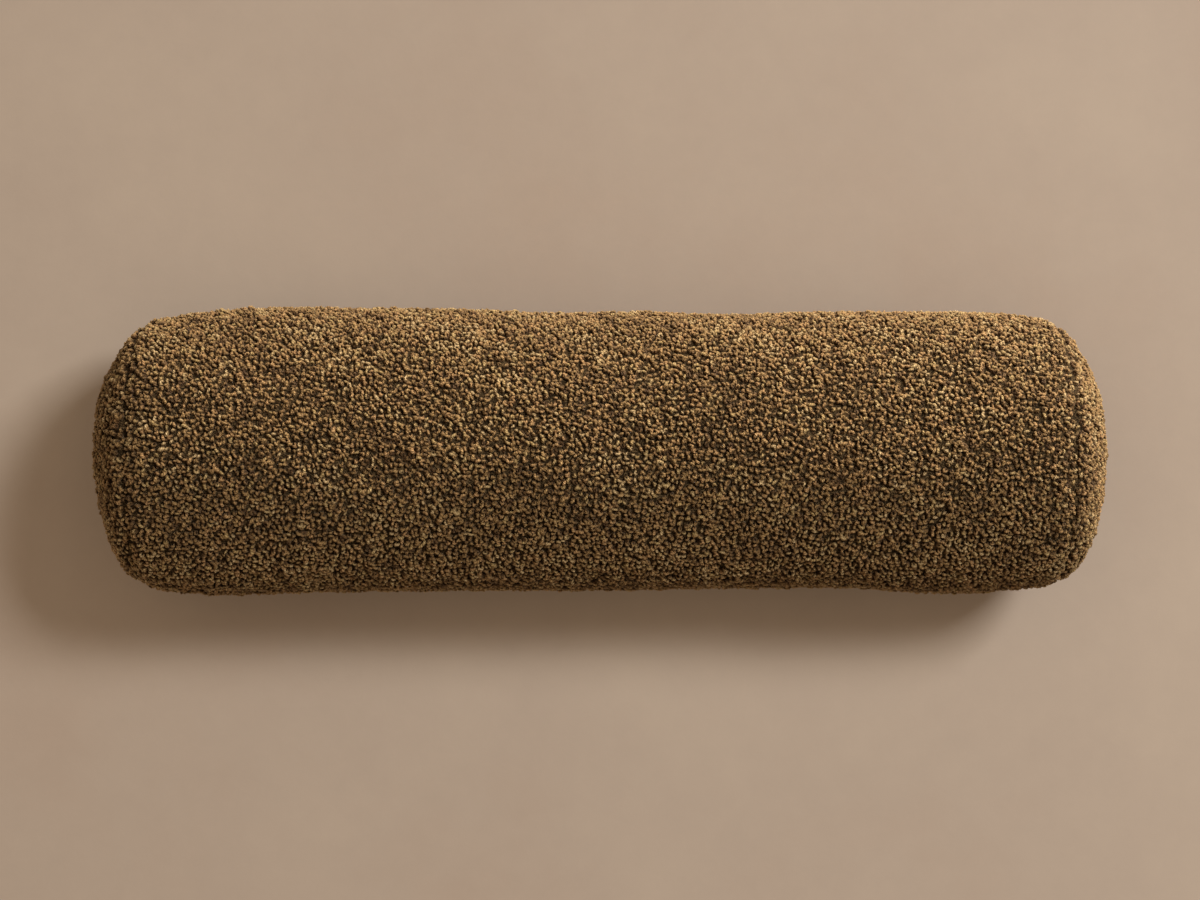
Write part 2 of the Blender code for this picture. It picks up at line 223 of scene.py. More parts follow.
class Surface:
    """The pillow's surface at one depth below the tips of its pile, as a profile turned about the axis."""

    def __init__(self, depth, floor):
        seam_x, seam_radius = SEAM_X - depth, SEAM_RADIUS - depth
        tube_x = np.linspace(0, seam_x, PROFILE_POINTS)
        along = np.clip((tube_x - TAPER_START) / (seam_x - TAPER_START), 0, 1)
        tube_r = RADIUS - depth - (RADIUS - SEAM_RADIUS) * along**TAPER_POWER
        turn = np.linspace(0, math.pi / 2, PROFILE_POINTS)[1:]
        x = np.concatenate([tube_x, seam_x + CROWN * np.sin(turn) ** CROWN_POWER])
        radius = np.concatenate([tube_r, seam_radius * np.cos(turn)])
        length = np.concatenate([[0], np.cumsum(np.hypot(np.diff(x), np.diff(radius)))])
        seam = length[len(tube_x) - 1]
        station = np.where(length < seam, length / seam, 1 + (length - seam) / (length[-1] - seam))
        self.station = np.concatenate([-station[:0:-1], station])
        self.x = np.concatenate([-x[:0:-1], x])
        self.radius = np.concatenate([radius[:0:-1], radius])
        self.seam_length, self.end_length = seam, length[-1] - seam
        self.depth, self.floor = depth, floor

    def station_at(self, x):
        return float(np.interp(x, self.x, self.station))

    def place_at(self, stations):
        """x and radius at each station."""
        return np.interp(stations, self.station, self.x), np.interp(stations, self.station, self.radius)

    def profile(self, stations):
        """x, radius and the outward normal's two parts at each station."""
        x, radius = self.place_at(stations)
        x_before, radius_before = self.place_at(stations - SLOPE_STEP)
        x_after, radius_after = self.place_at(stations + SLOPE_STEP)
        dx, dr = x_after - x_before, radius_after - radius_before
        size = np.hypot(dx, dr)
        return x, np.maximum(radius, 0), -dr / size, dx / size

    def points(self, stations, turns, lift=0.0):
        """A grid of points, raised along the normal by lift, which is a number or a grid."""
        x, radius, nx, nr = (v[:, None] for v in self.profile(stations))
        radius = np.maximum(radius + nr * lift, 0)
        x = x + nx * lift + 0 * turns
        z = AXIS_HEIGHT + radius * np.cos(turns)
        z = self.floor + FLOOR_SOFTNESS * np.logaddexp(0, (z - self.floor) / FLOOR_SOFTNESS)
        return np.stack([x, radius * np.sin(turns), z], -1)


def even_turns(count):
    return np.arange(count) * 2 * math.pi / count


def turned_from(turns, angle):
    """How far each turn is past angle, from -pi to pi."""
    return (turns - angle + math.pi) % (2 * math.pi) - math.pi


GROUND = Surface(GROUND_DEPTH, GROUND_FLOOR)
GROUND_SEAM_X = GROUND.profile(np.array([1.0]))[0][0]

# The filling's pressure on the cover, by cloth simulation

TENSION = 3
START_IN = 1.5 * MM  # the cloth starts this far inside the plain form
HELD_AT_SEAM = 3 * MM  # cloth this near an end seam is held by it
HELD_RIM = 12 * MM
HELD_AT_FLOOR = 2 * MM
FLOOR_HOLD = 0.8
SWELL_REACH = 10 * MM
SWELL_CAP = 3.0 * MM
SIM_FRAMES = 20
SIM_STATIONS = np.concatenate(
    [np.linspace(-2, -1, 13)[:-1], np.linspace(-1, 1, 91), np.linspace(1, 2, 13)[1:]]
)
SIM_TURNS = even_turns(80)


def swell_field():
    """How far the filled cover stands from the plain form, at SIM_STATIONS and SIM_TURNS."""
    shape = (len(SIM_STATIONS), len(SIM_TURNS))
    start = Surface(GROUND_DEPTH + START_IN, GROUND_FLOOR + START_IN).points(SIM_STATIONS, SIM_TURNS)
    mesh = mesh_from_arrays("filling_sim", start.reshape(-1, 3), grid_quads(*shape))
    tidy(mesh)
    item = add_piece("filling_sim", mesh, None, body=None)
    held = item.vertex_groups.new(name="held")
    for v in mesh.vertices:
        from_axis = math.hypot(v.co.y, v.co.z - AXIS_HEIGHT)
        if abs(abs(v.co.x) - GROUND_SEAM_X) < HELD_AT_SEAM and from_axis > SEAM_RADIUS - HELD_RIM:
            held.add([v.index], 1.0, "REPLACE")
        elif v.co.z < GROUND_FLOOR + HELD_AT_FLOOR:
            held.add([v.index], FLOOR_HOLD, "REPLACE")
    cloth = item.modifiers.new("cloth", "CLOTH")
    settings = cloth.settings
    settings.quality = 5
    settings.mass = 0.3
    settings.tension_stiffness = TENSION
    settings.compression_stiffness = TENSION
    settings.shear_stiffness = TENSION / 2
    settings.bending_stiffness = 0.1
    settings.use_pressure = True
    settings.uniform_pressure_force = 4
    settings.vertex_group_mass = held.name
    settings.effector_weights.gravity = 0
    cloth.point_cache.frame_start = 1
    cloth.point_cache.frame_end = SIM_FRAMES
    for step in range(1, SIM_FRAMES + 1):
        bpy.context.scene.frame_set(step)
    tree = BVHTree.FromObject(item, bpy.context.evaluated_depsgraph_get())
    plain = GROUND.points(SIM_STATIONS, SIM_TURNS)
    _, _, nx, nr = GROUND.profile(SIM_STATIONS)
    field = np.zeros(shape)
    for i in range(shape[0]):
        for j, turn in enumerate(SIM_TURNS):
            out = Vector((nx[i], nr[i] * math.sin(turn), nr[i] * math.cos(turn)))
            hit = tree.ray_cast(Vector(plain[i, j]) - out * SWELL_REACH, out, 2 * SWELL_REACH)
            field[i, j] = (hit[3] if hit[0] is not None else SWELL_REACH) - SWELL_REACH
    bpy.data.objects.remove(item)
    bpy.context.scene.frame_set(1)
    # The mean is taken over the tube, away from its seams and its underside
    middle = (np.abs(SIM_STATIONS) < 0.7)[:, None] & (np.cos(SIM_TURNS) > -0.5)
    return np.clip(field - field[middle].mean(), -SWELL_CAP, SWELL_CAP)


SWELL = swell_field()

# Height of the cover over its plain form

LUMP_HEIGHT = 0.7 * MM
LUMP_WAVES = 14
LUMP_ALONG = (12, 55)  # radians for each metre of x
LUMP_ROUND = (1, 6)  # waves round the pillow
LUMP_EVEN = 3.2  # brings the sum of the waves to about 1
END_LEAN = 3.6 * MM  # the ends' shoulders are rounder along the back and fuller along the front
LEAN_STATION, LEAN_SPREAD = 1.12, 0.30
SEAM_DIP = 3.8 * MM
SEAM_SPREAD = 4.8 * MM
DENTS = (  # (x, degrees round from the top towards the back, depth, reach along x, reach round in degrees)
    (90, 90, 3.6, 170, 35),
    (-230, 90, -1.8, 90, 35),
    (-290, -90, -2.6, 60, 35),
    (130, -90, 2.2, 110, 35),
    (-60, 20, 1.6, 120, 30),
)
ZIP_SEAM_DIP = 1.2 * MM
ZIP_SEAM_SPREAD = 3 * MM
ZIP_CALM = 22 * MM  # distance from the zip within which the cover lies flatter


def lumps(x, turns):
    """Slight unevenness of the filling, from waves of random direction."""
    rng = rng_for("lumps")
    total = np.zeros(np.broadcast(x, turns).shape)
    for _ in range(LUMP_WAVES):
        along = rng.uniform(*LUMP_ALONG)
        around = rng.integers(*LUMP_ROUND)
        total += np.sin(x * along + around * turns + rng.uniform(0, 2 * math.pi)) * rng.uniform(0.4, 1)
    return total / LUMP_EVEN


def cover_lift(surface, stations, turns):
    """The swell, unevenness, seam valleys and the calm strip at the zip, along the normal."""
    turn_wide = np.concatenate([SIM_TURNS, [2 * math.pi]])
    swell = np.concatenate([SWELL, SWELL[:, :1]], 1)
    by_turn = np.array([np.interp(turns % (2 * math.pi), turn_wide, row) for row in swell])
    lift = np.array([np.interp(stations, SIM_STATIONS, column) for column in by_turn.T]).T
    x = surface.profile(stations)[0][:, None]
    lift = lift + LUMP_HEIGHT * lumps(x, turns)
    shoulder = np.exp(-(((np.abs(stations) - LEAN_STATION) / LEAN_SPREAD) ** 2))[:, None]
    lift = lift - END_LEAN * shoulder * np.sin(turns)
    for middle, degrees, depth, reach, spread in DENTS:
        round_from = turned_from(turns, math.radians(degrees)) / math.radians(spread)
        dent = np.exp(-(((x - middle * MM) / (reach * MM)) ** 2) - round_from**2)
        lift = lift - depth * MM * dent
    from_zip_line = np.abs(turned_from(turns, ZIP_TURN)) * RADIUS
    calm = np.exp(-((from_zip_line / ZIP_CALM) ** 2)) * (np.abs(x) < SLIT_HALF_LENGTH + ZIP_CALM)
    lift = lift * (1 - calm)
    beyond = np.abs(stations)
    on_tube, on_end = (1 - beyond) * surface.seam_length, (beyond - 1) * surface.end_length
    from_seam = np.where(beyond < 1, on_tube, on_end)[:, None]
    lift = lift - SEAM_DIP * np.exp(-((from_seam / SEAM_SPREAD) ** 2))
    outside_slit = (np.abs(x) > SLIT_HALF_LENGTH) & (np.abs(stations) < 1)[:, None]
    return lift - outside_slit * ZIP_SEAM_DIP * np.exp(-((from_zip_line / ZIP_SEAM_SPREAD) ** 2))


# Materials


class Shader:
    """A node material and short ways to add to it."""

    def __init__(self, name):
        self.material = bpy.data.materials.new(name)
        self.material.use_nodes = True
        self.tree = self.material.node_tree
        self.bsdf = self.tree.nodes["Principled BSDF"]

    def set(self, **values):
        for name, value in values.items():
            self.bsdf.inputs[name.replace("_", " ")].default_value = value
        return self

    def put(self, socket, value):
        if isinstance(value, bpy.types.NodeSocket):
            self.tree.links.new(value, socket)
        else:
            socket.default_value = value

    def node(self, kind, output=0, settings=None, **inputs):
        made = self.tree.nodes.new(kind)
        for name, value in (settings or {}).items():
            setattr(made, name, value)
        for name, value in inputs.items():
            self.put(made.inputs[name.replace("_", " ")], value)
        return made.outputs[output]

    def place(self, scale=1.0):
        """Object coordinates, scaled."""
        coords = self.node("ShaderNodeTexCoord", "Object")
        size = scale if isinstance(scale, tuple) else (scale,) * 3
        return self.node("ShaderNodeMapping", Vector=coords, Scale=size)

    def noise(self, vector, scale, detail=3.0, roughness=0.55):
        return self.node("ShaderNodeTexNoise", Vector=vector, Scale=scale, Detail=detail, Roughness=roughness)

    def wave(self, vector, scale, distortion=0.0, **settings):
        kind = "ShaderNodeTexWave"
        return self.node(kind, "Fac", settings, Vector=vector, Scale=scale, Distortion=distortion)

    def maths(self, operation, *values):
        made = self.tree.nodes.new("ShaderNodeMath")
        made.operation = operation
        for socket, value in zip(made.inputs, values):
            self.put(socket, value)
        return made.outputs[0]

    def ramp(self, factor, *stops):
        made = self.tree.nodes.new("ShaderNodeValToRGB")
        elements = made.color_ramp.elements
        while len(elements) < len(stops):
            elements.new(0.5)
        for element, (position, colour) in zip(elements, stops):
            element.position = position
            element.color = (*colour, 1.0) if isinstance(colour, tuple) else (colour, colour, colour, 1.0)
        self.put(made.inputs["Fac"], factor)
        return made.outputs["Color"]

    def mix(self, factor, a, b, blend="MIX"):
        made = self.tree.nodes.new("ShaderNodeMix")
        made.data_type = "RGBA"
        made.blend_type = blend
        self.put(made.inputs["Factor"], factor)
        colour_inputs = [s for s in made.inputs if s.type == "RGBA"]
        for socket, value in zip(colour_inputs, (a, b)):
            self.put(socket, (*value, 1.0) if isinstance(value, tuple) else value)
        return next(s for s in made.outputs if s.type == "RGBA")

    def finish(self, colour, roughness, height=None, strength=0.5, distance=0.3 * MM):
        self.put(self.bsdf.inputs["Base Color"], colour)
        self.put(self.bsdf.inputs["Roughness"], roughness)
        if height is not None:
            bump = self.node("ShaderNodeBump", Strength=strength, Distance=distance, Height=height)
            self.put(self.bsdf.inputs["Normal"], bump)
        return self.material


NUB_TONES = 16  # columns and rows of the sheet that all the nubs share
NUB_ROWS = 4
YARN_PLIES = 2
YARN_TWISTS = 16  # along one nub


def yarn_material():
    """Looped yarn: a colour for each nub, with painted shade towards its root and down its lower side and a
    painted highlight on its top, and the twist of its plies.
    """
    shader = Shader("boucle_yarn").set(Sheen_Weight=0.2, Sheen_Roughness=0.45, Specular_IOR_Level=0.3)
    shader.set(Sheen_Tint=(0.95, 0.72, 0.42, 1.0))
    tone = shader.node("ShaderNodeAttribute", "Fac", {"attribute_name": "tone"})
    height = shader.node("ShaderNodeAttribute", "Fac", {"attribute_name": "height"})
    colour = shader.ramp(
        tone,
        (0.00, (0.200, 0.118, 0.045)),
        (0.22, (0.285, 0.180, 0.072)),
        (0.45, (0.345, 0.225, 0.096)),
        (0.62, (0.395, 0.240, 0.110)),
        (0.80, (0.380, 0.275, 0.120)),
        (1.00, (0.480, 0.360, 0.200)),
    )
    # Painted shade and painted highlight: each point of the yarn is darker the lower it stands in the pile
    # and lighter near the tips
    depth = shader.ramp(
        height,
        (0.20, (0.34, 0.23, 0.13)),
        (0.60, (0.74, 0.62, 0.45)),
        (0.96, (1.48, 1.36, 1.16)),
    )
    colour = shader.mix(1.0, colour, depth, "MULTIPLY")
    uv = shader.node("ShaderNodeUVMap", 0, {"uv_map": UV_LAYER})
    split = shader.tree.nodes.new("ShaderNodeSeparateXYZ")
    shader.put(split.inputs[0], uv)
    along = shader.maths("MULTIPLY", split.outputs[1], NUB_ROWS * 2 * math.pi * YARN_TWISTS)
    around = shader.maths("MULTIPLY", split.outputs[0], NUB_TONES * 2 * math.pi * YARN_PLIES)
    twist = shader.maths("SINE", shader.maths("ADD", along, around))
    ply = shader.ramp(shader.maths("MULTIPLY_ADD", twist, 0.5, 0.5), (0.0, 0.62), (1.0, 1.12))
    colour = shader.mix(1.0, colour, ply, "MULTIPLY")
    fuzz = shader.noise(uv, 900.0, 2.0)
    roughness = shader.maths("MULTIPLY_ADD", fuzz, 0.3, 0.5)
    return shader.finish(colour, roughness, twist, 0.8, 0.3 * MM)


def ground_material():
    """The knitted back of the cloth, seen in the gaps between the nubs: its own colour, made very dark as
    painted shade in those gaps.
    """
    shader = Shader("boucle_ground").set(Specular_IOR_Level=0.1)
    place = shader.place()
    curls = shader.wave(place, 150.0, 28.0, wave_type="RINGS")
    patch = shader.noise(place, 160.0)
    colour = shader.ramp(patch, (0.3, (0.050, 0.029, 0.011)), (0.7, (0.150, 0.094, 0.040)))
    colour = shader.mix(1.0, colour, shader.ramp(curls, (0.1, 0.25), (0.9, 1.25)), "MULTIPLY")
    return shader.finish(colour, shader.maths("MULTIPLY_ADD", patch, 0.2, 0.75), curls, 0.9, 0.9 * MM)


def tape_material():
    shader = Shader("zip_tape_weave").set(Sheen_Weight=0.15)
    place = shader.place()
    rib = shader.wave(place, 330.0, bands_direction="X")
    cross = shader.wave(place, 480.0, bands_direction="DIAGONAL")
    weave = shader.maths("MULTIPLY", rib, cross)
    patch = shader.noise(place, 300.0)
    colour = shader.ramp(weave, (0.0, (0.055, 0.036, 0.016)), (0.8, (0.150, 0.105, 0.052)))
    return shader.finish(colour, shader.maths("MULTIPLY_ADD", patch, 0.25, 0.6), weave, 0.6, 0.15 * MM)


def coil_material():
    shader = Shader("zip_coil_nylon").set(Coat_Weight=0.15)
    place = shader.place()
    patch = shader.noise(place, 420.0)
    colour = shader.ramp(patch, (0.3, (0.070, 0.045, 0.020)), (0.7, (0.115, 0.078, 0.036)))
    return shader.finish(colour, shader.maths("MULTIPLY_ADD", patch, 0.3, 0.25), patch, 0.1, 0.1 * MM)


def thread_material():
    shader = Shader("stitch_thread").set(Sheen_Weight=0.2)
    place = shader.place()
    twist = shader.wave(place, 900.0, bands_direction="DIAGONAL")
    colour = shader.ramp(twist, (0.0, (0.13, 0.088, 0.040)), (1.0, (0.25, 0.175, 0.085)))
    return shader.finish(colour, shader.maths("MULTIPLY_ADD", twist, 0.2, 0.5), twist, 0.4, 0.1 * MM)


def brass_material():
    """Antique brass: brown in its hollows and rubbed bright along its edges."""
    shader = Shader("antique_brass").set(Metallic=1.0)
    place = shader.place()
    cloud = shader.noise(place, 380.0, 5.0)
    scratch = shader.noise(shader.place((2500.0, 260.0, 2500.0)), 1.0, 2.0)
    point = shader.node("ShaderNodeNewGeometry", "Pointiness")
    worn = shader.maths("ADD", shader.maths("MULTIPLY", point, 1.6), shader.maths("MULTIPLY", cloud, 0.5))
    colour = shader.ramp(
        worn,
        (0.85, (0.150, 0.088, 0.034)),
        (1.05, (0.430, 0.285, 0.120)),
        (1.25, (0.720, 0.540, 0.270)),
    )
    rough = shader.maths("MULTIPLY_ADD", cloud, 0.35, 0.2)
    return shader.finish(colour, rough, scratch, 0.12, 0.05 * MM)


def label_material():
    """Woven satin label, left blank."""
    shader = Shader("label_satin").set(Sheen_Weight=0.3)
    place = shader.place()
    weave = shader.wave(place, 650.0, bands_direction="X")
    patch = shader.noise(place, 120.0)
    colour = shader.ramp(patch, (0.3, (0.62, 0.57, 0.48)), (0.7, (0.74, 0.70, 0.61)))
    colour = shader.mix(1.0, colour, shader.ramp(weave, (0.0, 0.86), (1.0, 1.0)), "MULTIPLY")
    return shader.finish(colour, shader.maths("MULTIPLY_ADD", weave, 0.2, 0.35), weave, 0.3, 0.08 * MM)


def casing_material():
    """Unbleached cotton of the insert, in a plain weave."""
    shader = Shader("casing_cotton").set(Sheen_Weight=0.1)
    place = shader.place()
    warp = shader.wave(place, 260.0, 0.6, bands_direction="X")
    weft = shader.wave(place, 260.0, 0.6, bands_direction="Z")
    weave = shader.maths("ADD", warp, weft)
    patch = shader.noise(place, 35.0, 4.0)
    colour = shader.ramp(patch, (0.3, (0.60, 0.55, 0.45)), (0.7, (0.70, 0.66, 0.57)))
    colour = shader.mix(1.0, colour, shader.ramp(weave, (0.1, 0.78), (0.9, 1.0)), "MULTIPLY")
    return shader.finish(colour, shader.maths("MULTIPLY_ADD", patch, 0.2, 0.75), weave, 0.4, 0.2 * MM)


def wadding_material():
    shader = Shader("wadding_fibre").set(Sheen_Weight=0.5)
    place = shader.place()
    fibre = shader.noise(shader.place((1.0, 3.0, 3.0)), 320.0, 6.0, 0.7)
    cloud = shader.noise(place, 45.0, 4.0)
    colour = shader.ramp(fibre, (0.3, (0.66, 0.66, 0.64)), (0.6, (0.82, 0.82, 0.80)))
    height = shader.maths("ADD", fibre, cloud)
    return shader.finish(colour, shader.maths("MULTIPLY_ADD", cloud, 0.15, 0.85), height, 0.7, 1.2 * MM)


def foam_material():
    shader = Shader("foam_open_cell").set(Specular_IOR_Level=0.2)
    place = shader.place()
    cells = shader.node("ShaderNodeTexVoronoi", "Distance", Vector=place, Scale=900.0)
    cloud = shader.noise(place, 25.0, 4.0)
    colour = shader.ramp(cloud, (0.3, (0.66, 0.56, 0.30)), (0.7, (0.74, 0.65, 0.38)))
    colour = shader.mix(1.0, colour, shader.ramp(cells, (0.1, 0.62), (0.5, 1.0)), "MULTIPLY")
    return shader.finish(colour, shader.maths("MULTIPLY_ADD", cells, 0.15, 0.8), cells, 0.6, 0.4 * MM)


def floor_material():
    """Trowelled plaster in pale taupe."""
    shader = Shader("studio_plaster").set(Specular_IOR_Level=0.2)
    place = shader.place()
    broad = shader.noise(place, 2.6, 5.0, 0.6)
    fine = shader.noise(place, 38.0, 6.0, 0.7)
    colour = shader.ramp(
        broad,
        (0.30, (0.455, 0.355, 0.270)),
        (0.50, (0.470, 0.378, 0.292)),
        (0.70, (0.500, 0.405, 0.310)),
    )
    colour = shader.mix(1.0, colour, shader.ramp(fine, (0.2, 0.965), (0.8, 1.02)), "MULTIPLY")
    height = shader.maths("ADD", fine, shader.maths("MULTIPLY", broad, 3.0))
    return shader.finish(colour, shader.maths("MULTIPLY_ADD", fine, 0.2, 0.7), height, 0.25, 1.0 * MM)


YARN = yarn_material()
CLOTH = ground_material()
TAPE = tape_material()
COIL = coil_material()
THREAD = thread_material()
BRASS = brass_material()
LABEL = label_material()
CASING = casing_material()
WADDING = wadding_material()
FOAM = foam_material()

# The cover's cloth

COLUMNS = 160
# The slit's rolled edge: (mm in towards the middle of the slit, share of the way down to the tape)
LIP = ((0.6, 0.12), (1.05, 0.5), (1.1, 0.9), (0.8, 1.0))
LIP_OVER_TAPE = 0.15 * MM
LIP_SIDE = 0.7  # cloth beyond this share of the slit's half width is rolled across it
LIP_END = 1.5 * MM  # cloth this near an end of the slit is rolled along it
SLIT_OUT = 100 * MM  # the slit's edge is farther out from the axis than this
# A seam allowance: (mm away from the seam, mm in towards the axis)
TURN_IN = ((0.3, 1.6), (0.9, 4.0))
SEAM_STEPS = np.array([0.25, 1.2, 2.4, 3.8, 5.6, 8.0]) * MM  # from an end seam, close where the cloth dips
TUBE_STATION, END_STATION = 0.976, 1.075  # the even stations stop this near the end seams


def cover_turns():
    """Columns round the cover, with one on each edge of the zip's slit."""
    turns = even_turns(COLUMNS)
    middle = round(ZIP_TURN / (2 * math.pi) * COLUMNS)
    edge = math.asin(SLIT_EDGE / (RADIUS - GROUND_DEPTH))
    for offset, share in ((-2, -1.0), (-1, -0.5), (0, 0.0), (1, 0.5), (2, 1.0)):
        turns[middle + offset] = ZIP_TURN + share * edge
    return turns, middle


def near_seam(side, outwards):
    """Stations close to an end seam, where the cloth dips into the valley."""
    length = GROUND.end_length if outwards else GROUND.seam_length
    steps = SEAM_STEPS / length
    return side * (1 + steps if outwards else 1 - steps)


def tube_stations():
    slit = GROUND.station_at(SLIT_HALF_LENGTH)
    left, right = np.linspace(-TUBE_STATION, -slit, 20), np.linspace(slit, TUBE_STATION, 20)
    stations = [left, np.linspace(-slit, slit, 132), right, near_seam(-1, False), near_seam(1, False)]
    return np.unique(np.concatenate(stations).round(9))


def end_stations(side):
    stations = side * np.linspace(END_STATION, 2, 22)
    return np.sort(np.concatenate([near_seam(side, True), stations]))


TURNS, SLIT_COLUMN = cover_turns()


def cover_grid(stations):
    return GROUND.points(stations, TURNS, cover_lift(GROUND, stations, TURNS))


def turned_in(ring, away):
    """Rings of a seam allowance that goes from ring in towards the axis. away is the direction along x."""
    rings = []
    for shift, inward in TURN_IN:
        new = ring.copy()
        centre = np.array((0.0, AXIS_HEIGHT))
        arm = new[:, 1:] - centre
        new[:, 1:] = centre + arm * (1 - inward * MM / np.linalg.norm(arm, axis=1, keepdims=True))
        new[:, 0] += away * shift * MM
        rings.append(new)
    return rings


def on_slit(edge):
    """Whether an edge of the cloth is an edge of the zip's slit."""
    x, y, z = to_zip(np.array([v.co for v in edge.verts])).T
    inside = (np.abs(x) < SLIT_HALF_LENGTH + MM) & (np.abs(y) < SLIT_EDGE + MM) & (z > SLIT_OUT)
    return edge.is_boundary and inside.all()


def roll_lips(mesh):
    """Rolls the edge of the slit down to the zip's tape."""
    with edited(mesh) as shape:
        edges = [edge for edge in shape.edges if on_slit(edge)]
        for inward, down in LIP:
            made = bmesh.ops.extrude_edge_only(shape, edges=edges)["geom"]
            edges = [e for e in made if isinstance(e, bmesh.types.BMEdge)]
            for v in (v for v in made if isinstance(v, bmesh.types.BMVert)):
                x, y, z = to_zip(np.array(v.co))
                if abs(y) > SLIT_EDGE * LIP_SIDE:
                    y = math.copysign(SLIT_EDGE - inward * MM, y)
                if abs(x) > SLIT_HALF_LENGTH - LIP_END:
                    x = math.copysign(SLIT_HALF_LENGTH - inward * MM, x)
                v.co = Vector(from_zip((x, y, z + (TAPE_TOP + LIP_OVER_TAPE - z) * down)))


def make_cloth():
    stations = tube_stations()
    grid = cover_grid(stations)
    rings = [*reversed(turned_in(grid[0], 1)), *grid, *turned_in(grid[-1], -1)]
    rows = len(rings)
    quads = grid_quads(rows, COLUMNS)
    uv = grid_uv(rows, COLUMNS).reshape(-1, 4, 2)
    row, column = np.divmod(np.arange(len(quads)), COLUMNS)
    ring_x = np.array([ring[:, 0].mean() for ring in rings])
    in_slit = np.abs(ring_x[row] + ring_x[row + 1]) / 2 < SLIT_HALF_LENGTH
    in_slit &= np.abs(column + 0.5 - SLIT_COLUMN) < 2
    mesh = mesh_from_arrays("cover_tube_cloth", np.concatenate(rings), quads[~in_slit], uv[~in_slit])
    roll_lips(mesh)
    tube = add_piece("cover_tube_cloth", mesh, CLOTH)
    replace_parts(tube, "cover_tube")
    covers = [tube]
    for side, ending in ENDS:
        grid = cover_grid(end_stations(side))
        rings = [*reversed(turned_in(grid[0], 1)), *grid] if side > 0 else [*grid, *turned_in(grid[-1], -1)]
        quads, uv = grid_quads(len(rings), COLUMNS), grid_uv(len(rings), COLUMNS)
        mesh = mesh_from_arrays(f"cover_end_{ending}_cloth", np.concatenate(rings), quads, uv)
        tidy(mesh)
        item = add_piece(mesh.name, mesh, CLOTH)
        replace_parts(item, f"cover_end_{ending}")
        covers.append(item)
    for item in covers:
        solid = item.modifiers.new("thickness", "SOLIDIFY")
        solid.thickness = GROUND_THICKNESS
        solid.offset = -1
        apply_modifiers(item)


make_cloth()

# The pile: nubs of looped yarn

NUB_SPACING = 3.35 * MM
NUB_RINGS = 15
NUB_SIDES = 4
NUB_TURNS = (1.5, 2.1)  # of the yarn round its axis
NUB_RADIUS = (1.4, 2.15)  # mm
NUB_OVAL = (0.75, 1.0)
NUB_LENGTH = 1.3 * MM  # along the axis that the yarn is wound round
NUB_TILT = (0.5, 1.5)  # radians, of that axis and of its swing
NUB_SCALE = (0.80, 1.26)
# height of the pile over which the yarn's painted shade runs from root to tip
NUB_HEIGHT = 3.4 * MM
YARN_RADIUS = 1.05 * MM
WANDER = 0.35 * MM
ROOT_DEPTH = 6.2 * MM
ROOT_SHARE = 0.06  # of the yarn's length, at each end
DROP_MOST = 1.3  # mm that a nub sits lower by chance
HOLLOW_DEPTH = 0.8 * MM
HOLLOW_WAVES = 16
HOLLOW_LENGTH = (8, 26)  # mm from clump to clump
HOLLOW_EVEN = 4.5  # brings the sum of the waves to about 1
DRIFT_WAVES = 9
DRIFT_PACE = (60, 260)  # radians for each metre
DRIFT_SHARE = 0.07
LOOSE_SHARE = 0.03  # of the nubs are larger and stand out
LOOSE_SCALE = 1.25
LOOSE_LIFT = 0.9 * MM
CELL_SIDE, CELL_END = 0.06, 0.02  # margins round a nub's cell of the shared sheet
FLOOR_CLEARANCE = 0.25 * MM
FLOOR_SHOULDER = 1.5 * MM
BANDS = 20
SLIT_BARE = 6.9 * MM  # on each side of the slit's middle
SLIT_BARE_END = 2 * MM  # past each end of the slit
SEAM_BARE = 1.6 * MM
RIM_REACH = 16 * MM  # of the end seams, in towards the axis
SCATTER_TRIES = 9  # for each square of the spacing


def rotation(angle, axis):
    return np.array(Matrix.Rotation(angle, 3, axis))


def nub_line(rng):
    """Centre line of a nub: yarn wound round a slowly turning axis, both ends going down into the cloth."""
    t = np.linspace(0, 1, NUB_RINGS)
    turn = 2 * math.pi * (rng.random() + rng.uniform(*NUB_TURNS) * t)
    size = rng.uniform(*NUB_RADIUS) * MM
    oval = rng.uniform(*NUB_OVAL)
    lean, heading, swing = rng.uniform(*NUB_TILT), rng.uniform(0, 2 * math.pi), rng.uniform(*NUB_TILT)
    base = rotation(heading, "Z") @ rotation(lean, "Y")
    line = np.empty((NUB_RINGS, 3))
    for i in range(NUB_RINGS):
        flat = (size * math.cos(turn[i]), size * oval * math.sin(turn[i]), (t[i] - 0.5) * NUB_LENGTH)
        line[i] = base @ rotation(swing * (2 * t[i] - 1), "X") @ np.array(flat)
    line += WANDER * np.sin(turn[:, None] * rng.uniform(0.6, 1.7, 3) + rng.uniform(0, 2 * math.pi, 3))
    line[:, 2] -= line[:, 2].max() + YARN_RADIUS
    root = np.exp(-((np.minimum(t, 1 - t) / ROOT_SHARE) ** 2))[:, None]
    foot = line * (0.5, 0.5, 0.0) - (0, 0, ROOT_DEPTH)
    return line * (1 - root) + foot * root


def tube_rings(line, radius, sides):
    """Rings of points round a line, each turned as little as can be from the last."""
    along = np.gradient(line, axis=0)
    along /= np.linalg.norm(along, axis=1, keepdims=True)
    side = np.cross(along[0], (0.31, 0.52, 0.79))
    rings = []
    turns = even_turns(sides)
    for centre, ahead, size in zip(line, along, np.broadcast_to(radius, len(line))):
        side = side - ahead * np.dot(side, ahead)
        side /= np.linalg.norm(side)
        other = np.cross(ahead, side)
        rings.append(centre + size * (np.cos(turns)[:, None] * side + np.sin(turns)[:, None] * other))
    return np.array(rings)


def tube_quads(rings, sides):
    """Quads of a tube, and the ring and side that each starts at."""
    i, j = (v.ravel() for v in np.meshgrid(np.arange(rings - 1), np.arange(sides), indexing="ij"))
    k = (j + 1) % sides
    here, ahead = i * sides, (i + 1) * sides
    return np.stack([here + j, here + k, ahead + k, ahead + j], -1), i, j


